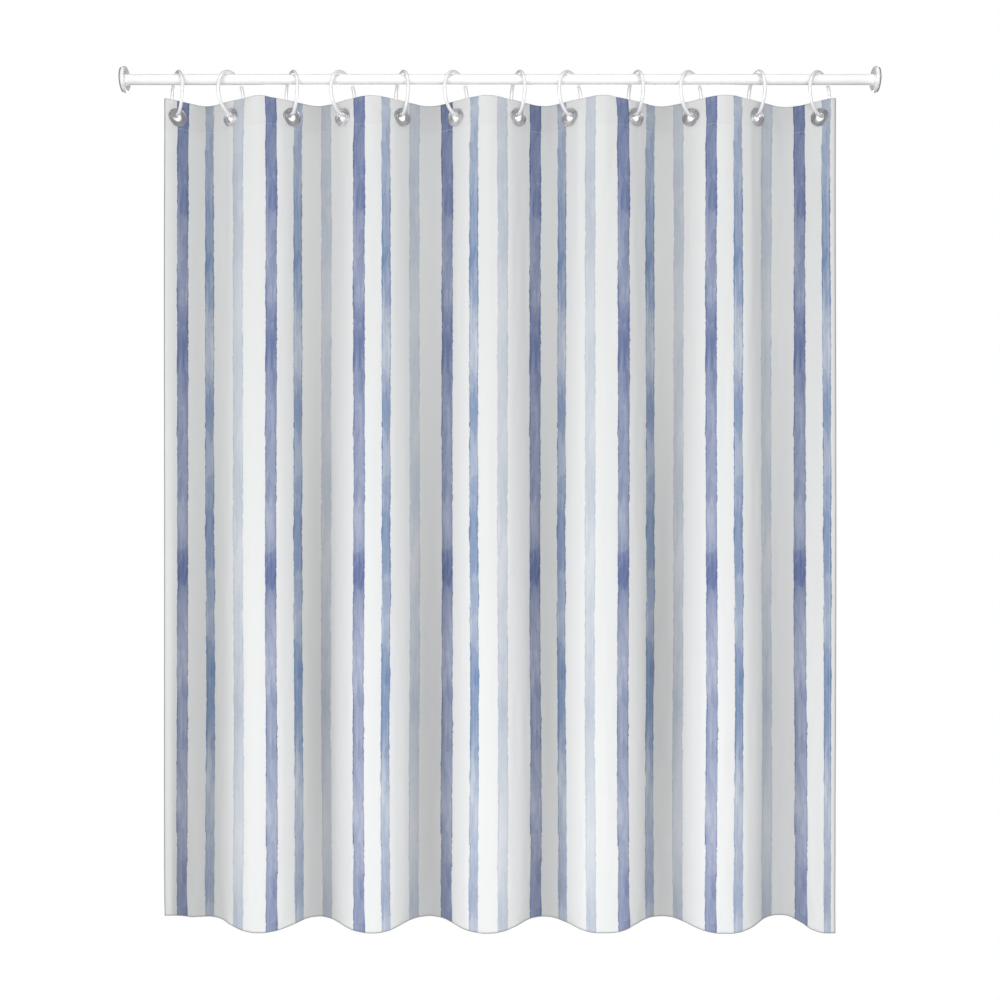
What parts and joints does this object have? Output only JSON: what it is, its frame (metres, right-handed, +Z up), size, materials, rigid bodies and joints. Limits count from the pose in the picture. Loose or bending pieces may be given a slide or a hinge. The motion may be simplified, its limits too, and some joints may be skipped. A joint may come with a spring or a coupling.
{
  "type": "shower curtain",
  "caption": "Striped polyester shower curtain hanging in soft folds from open snap rings through metal eyelets on a straight white rail with round screw-out wall feet.",
  "frame": {"origin": "centre of the left foot's wall face, on the rail's axis", "axes": "+X along the rail to the right foot, +Y to the back of the curtain, +Z up"},
  "size_m": [1.83, 0.1104, 2.0829],
  "materials": {
    "rail_white": "white powder coat, satin",
    "foot_white": "white moulded plastic, satin",
    "inner_plastic": "grey moulded plastic",
    "screw_steel": "zinc plated",
    "pad_rubber": "soft grey rubber",
    "printed_cloth": "white polyester with printed blue stripes in three tones",
    "cloth_backing": "the same cloth, folded to the back and sewn",
    "ring_plastic": "glossy white plastic",
    "eyelet_metal": "nickel plated, polished"
  },
  "bodies": {
    "rail": {"rail_tube": "rail_white", "left_end_plug": "inner_plastic", "left_flange": "foot_white", "left_flange_screw": "screw_steel", "left_wall_pad": "pad_rubber", "right_thread_insert": "inner_plastic"},
    "foot": {"right_wall_pad": "pad_rubber"},
    "foot_screw": {"right_flange": "foot_white", "right_stud": "screw_steel"},
    "curtain": {"curtain_panel": "printed_cloth", "header_facing": "cloth_backing", "left_side_hem": "cloth_backing", "right_side_hem": "cloth_backing", "bottom_hem": "cloth_backing"},
    "ring_01": {"ring_01": "ring_plastic"},
    "eyelet_01": {"eyelet_01": "eyelet_metal", "washer_01": "eyelet_metal"},
    "ring_02": {"ring_02": "ring_plastic"},
    "eyelet_02": {"eyelet_02": "eyelet_metal", "washer_02": "eyelet_metal"},
    "ring_03": {"ring_03": "ring_plastic"},
    "eyelet_03": {"eyelet_03": "eyelet_metal", "washer_03": "eyelet_metal"},
    "ring_04": {"ring_04": "ring_plastic"},
    "eyelet_04": {"eyelet_04": "eyelet_metal", "washer_04": "eyelet_metal"},
    "ring_05": {"ring_05": "ring_plastic"},
    "eyelet_05": {"eyelet_05": "eyelet_metal", "washer_05": "eyelet_metal"},
    "ring_06": {"ring_06": "ring_plastic"},
    "eyelet_06": {"eyelet_06": "eyelet_metal", "washer_06": "eyelet_metal"},
    "ring_07": {"ring_07": "ring_plastic"},
    "eyelet_07": {"eyelet_07": "eyelet_metal", "washer_07": "eyelet_metal"},
    "ring_08": {"ring_08": "ring_plastic"},
    "eyelet_08": {"eyelet_08": "eyelet_metal", "washer_08": "eyelet_metal"},
    "ring_09": {"ring_09": "ring_plastic"},
    "eyelet_09": {"eyelet_09": "eyelet_metal", "washer_09": "eyelet_metal"},
    "ring_10": {"ring_10": "ring_plastic"},
    "eyelet_10": {"eyelet_10": "eyelet_metal", "washer_10": "eyelet_metal"},
    "ring_11": {"ring_11": "ring_plastic"},
    "eyelet_11": {"eyelet_11": "eyelet_metal", "washer_11": "eyelet_metal"},
    "ring_12": {"ring_12": "ring_plastic"},
    "eyelet_12": {"eyelet_12": "eyelet_metal", "washer_12": "eyelet_metal"}
  },
  "joints": [
    {"name": "foot_travel", "type": "slide", "parent": "rail", "child": "foot", "axis": [1, 0, 0], "range_m": [0, 0.012]},
    {"name": "foot_turn", "type": "hinge", "parent": "foot", "child": "foot_screw", "pos_m": [1.83, 0, 0], "axis": [1, 0, 0], "range_deg": [0, 1080]},
    {"name": "curtain_swing", "type": "hinge", "parent": "rail", "child": "curtain", "pos_m": [0, 0, 0], "axis": [1, 0, 0], "range_deg": [-25, 25]},
    {"name": "ring_slide_01", "type": "slide", "parent": "curtain", "child": "ring_01", "axis": [1, 0, 0], "range_m": [-0.0145, 0]},
    {"name": "eyelet_turn_01", "type": "hinge", "parent": "ring_01", "child": "eyelet_01", "pos_m": [0.1335, 0, -0.0914], "axis": [0, 0, 1], "range_deg": [0, 21.99]},
    {"name": "ring_slide_02", "type": "slide", "parent": "curtain", "child": "ring_02", "axis": [1, 0, 0], "range_m": [-0.0847, 0]},
    {"name": "eyelet_turn_02", "type": "hinge", "parent": "ring_02", "child": "eyelet_02", "pos_m": [0.2635, 0, -0.0914], "axis": [0, 0, 1], "range_deg": [-21.99, 0]},
    {"name": "ring_slide_03", "type": "slide", "parent": "curtain", "child": "ring_03", "axis": [1, 0, 0], "range_m": [-0.1641, 0]},
    {"name": "eyelet_turn_03", "type": "hinge", "parent": "ring_03", "child": "eyelet_03", "pos_m": [0.4105, 0, -0.0914], "axis": [0, 0, 1], "range_deg": [0, 21.99]},
    {"name": "ring_slide_04", "type": "slide", "parent": "curtain", "child": "ring_04", "axis": [1, 0, 0], "range_m": [-0.2311, 0]},
    {"name": "eyelet_turn_04", "type": "hinge", "parent": "ring_04", "child": "eyelet_04", "pos_m": [0.5345, 0, -0.0914], "axis": [0, 0, 1], "range_deg": [-21.99, 0]},
    {"name": "ring_slide_05", "type": "slide", "parent": "curtain", "child": "ring_05", "axis": [1, 0, 0], "range_m": [-0.3083, 0]},
    {"name": "eyelet_turn_05", "type": "hinge", "parent": "ring_05", "child": "eyelet_05", "pos_m": [0.6775, 0, -0.0914], "axis": [0, 0, 1], "range_deg": [0, 21.99]},
    {"name": "ring_slide_06", "type": "slide", "parent": "curtain", "child": "ring_06", "axis": [1, 0, 0], "range_m": [-0.379, 0]},
    {"name": "eyelet_turn_06", "type": "hinge", "parent": "ring_06", "child": "eyelet_06", "pos_m": [0.8085, 0, -0.0914], "axis": [0, 0, 1], "range_deg": [-21.99, 0]},
    {"name": "ring_slide_07", "type": "slide", "parent": "curtain", "child": "ring_07", "axis": [1, 0, 0], "range_m": [-0.4601, 0]},
    {"name": "eyelet_turn_07", "type": "hinge", "parent": "ring_07", "child": "eyelet_07", "pos_m": [0.9585, 0, -0.0914], "axis": [0, 0, 1], "range_deg": [0, 21.99]},
    {"name": "ring_slide_08", "type": "slide", "parent": "curtain", "child": "ring_08", "axis": [1, 0, 0], "range_m": [-0.5281, 0]},
    {"name": "eyelet_turn_08", "type": "hinge", "parent": "ring_08", "child": "eyelet_08", "pos_m": [1.0845, 0, -0.0914], "axis": [0, 0, 1], "range_deg": [-21.99, 0]},
    {"name": "ring_slide_09", "type": "slide", "parent": "curtain", "child": "ring_09", "axis": [1, 0, 0], "range_m": [-0.614, 0]},
    {"name": "eyelet_turn_09", "type": "hinge", "parent": "ring_09", "child": "eyelet_09", "pos_m": [1.2435, 0, -0.0914], "axis": [0, 0, 1], "range_deg": [0, 21.99]},
    {"name": "ring_slide_10", "type": "slide", "parent": "curtain", "child": "ring_10", "axis": [1, 0, 0], "range_m": [-0.6863, 0]},
    {"name": "eyelet_turn_10", "type": "hinge", "parent": "ring_10", "child": "eyelet_10", "pos_m": [1.3775, 0, -0.0914], "axis": [0, 0, 1], "range_deg": [-21.99, 0]},
    {"name": "ring_slide_11", "type": "slide", "parent": "curtain", "child": "ring_11", "axis": [1, 0, 0], "range_m": [-0.7722, 0]},
    {"name": "eyelet_turn_11", "type": "hinge", "parent": "ring_11", "child": "eyelet_11", "pos_m": [1.5365, 0, -0.0914], "axis": [0, 0, 1], "range_deg": [0, 21.99]},
    {"name": "curtain_draw", "type": "slide", "parent": "curtain", "child": "ring_12", "axis": [1, 0, 0], "range_m": [-0.8543, 0], "deforming": ["curtain_panel", "header_facing", "left_side_hem", "right_side_hem", "bottom_hem"]},
    {"name": "eyelet_turn_12", "type": "hinge", "parent": "ring_12", "child": "eyelet_12", "pos_m": [1.6895, 0, -0.0914], "axis": [0, 0, 1], "range_deg": [-21.99, 0]}
  ],
  "couplings": [
    {"joint": "foot_travel", "follows": "foot_turn", "m_per_rad": 0.00063662},
    {"joint": "ring_slide_01", "follows": "curtain_draw", "ratio": 0.016435},
    {"joint": "eyelet_turn_01", "follows": "curtain_draw", "rad_per_m": -0.44312},
    {"joint": "ring_slide_02", "follows": "curtain_draw", "ratio": 0.098609},
    {"joint": "eyelet_turn_02", "follows": "curtain_draw", "rad_per_m": 0.44312},
    {"joint": "ring_slide_03", "follows": "curtain_draw", "ratio": 0.19153},
    {"joint": "eyelet_turn_03", "follows": "curtain_draw", "rad_per_m": -0.44312},
    {"joint": "ring_slide_04", "follows": "curtain_draw", "ratio": 0.26991},
    {"joint": "eyelet_turn_04", "follows": "curtain_draw", "rad_per_m": 0.44312},
    {"joint": "ring_slide_05", "follows": "curtain_draw", "ratio": 0.3603},
    {"joint": "eyelet_turn_05", "follows": "curtain_draw", "rad_per_m": -0.44312},
    {"joint": "ring_slide_06", "follows": "curtain_draw", "ratio": 0.44311},
    {"joint": "eyelet_turn_06", "follows": "curtain_draw", "rad_per_m": 0.44312},
    {"joint": "ring_slide_07", "follows": "curtain_draw", "ratio": 0.53793},
    {"joint": "eyelet_turn_07", "follows": "curtain_draw", "rad_per_m": -0.44312},
    {"joint": "ring_slide_08", "follows": "curtain_draw", "ratio": 0.61757},
    {"joint": "eyelet_turn_08", "follows": "curtain_draw", "rad_per_m": 0.44312},
    {"joint": "ring_slide_09", "follows": "curtain_draw", "ratio": 0.71808},
    {"joint": "eyelet_turn_09", "follows": "curtain_draw", "rad_per_m": -0.44312},
    {"joint": "ring_slide_10", "follows": "curtain_draw", "ratio": 0.80278},
    {"joint": "eyelet_turn_10", "follows": "curtain_draw", "rad_per_m": 0.44312},
    {"joint": "ring_slide_11", "follows": "curtain_draw", "ratio": 0.90329},
    {"joint": "eyelet_turn_11", "follows": "curtain_draw", "rad_per_m": -0.44312},
    {"joint": "eyelet_turn_12", "follows": "curtain_draw", "rad_per_m": 0.44312}
  ]
}
